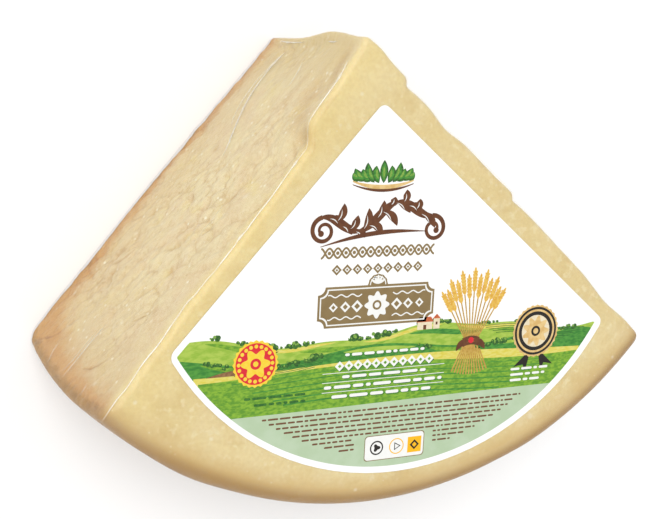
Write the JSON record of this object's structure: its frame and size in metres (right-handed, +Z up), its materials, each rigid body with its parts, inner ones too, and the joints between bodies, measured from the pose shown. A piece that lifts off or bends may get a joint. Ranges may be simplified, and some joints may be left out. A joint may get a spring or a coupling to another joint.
{
  "type": "parmesan chunk",
  "caption": "Large wedge of hard cheese, split from a wheel and sealed in tight clear film, with a sector-shaped printed label on its flat cut top.",
  "frame": {"origin": "centre of the bounding box's underside, on the flat rind that the chunk lies on", "axes": "+Z up from the flat rind to the labelled cut face; the chunk's tip points to +Y and the curved side rind faces -Y"},
  "size_m": [0.294, 0.227, 0.1263],
  "materials": {
    "cheese": "pale straw cheese with a tan-brown rind, slightly waxy, under tight clear film",
    "film": "clear vacuum film, thin and glossy, drawn tight over the cheese",
    "label_paper": "white satin paper, printed in greens, browns and a little gold and red"
  },
  "bodies": {
    "root": {"parmesan_chunk": "cheese", "label": "label_paper"}
  },
  "joints": []
}
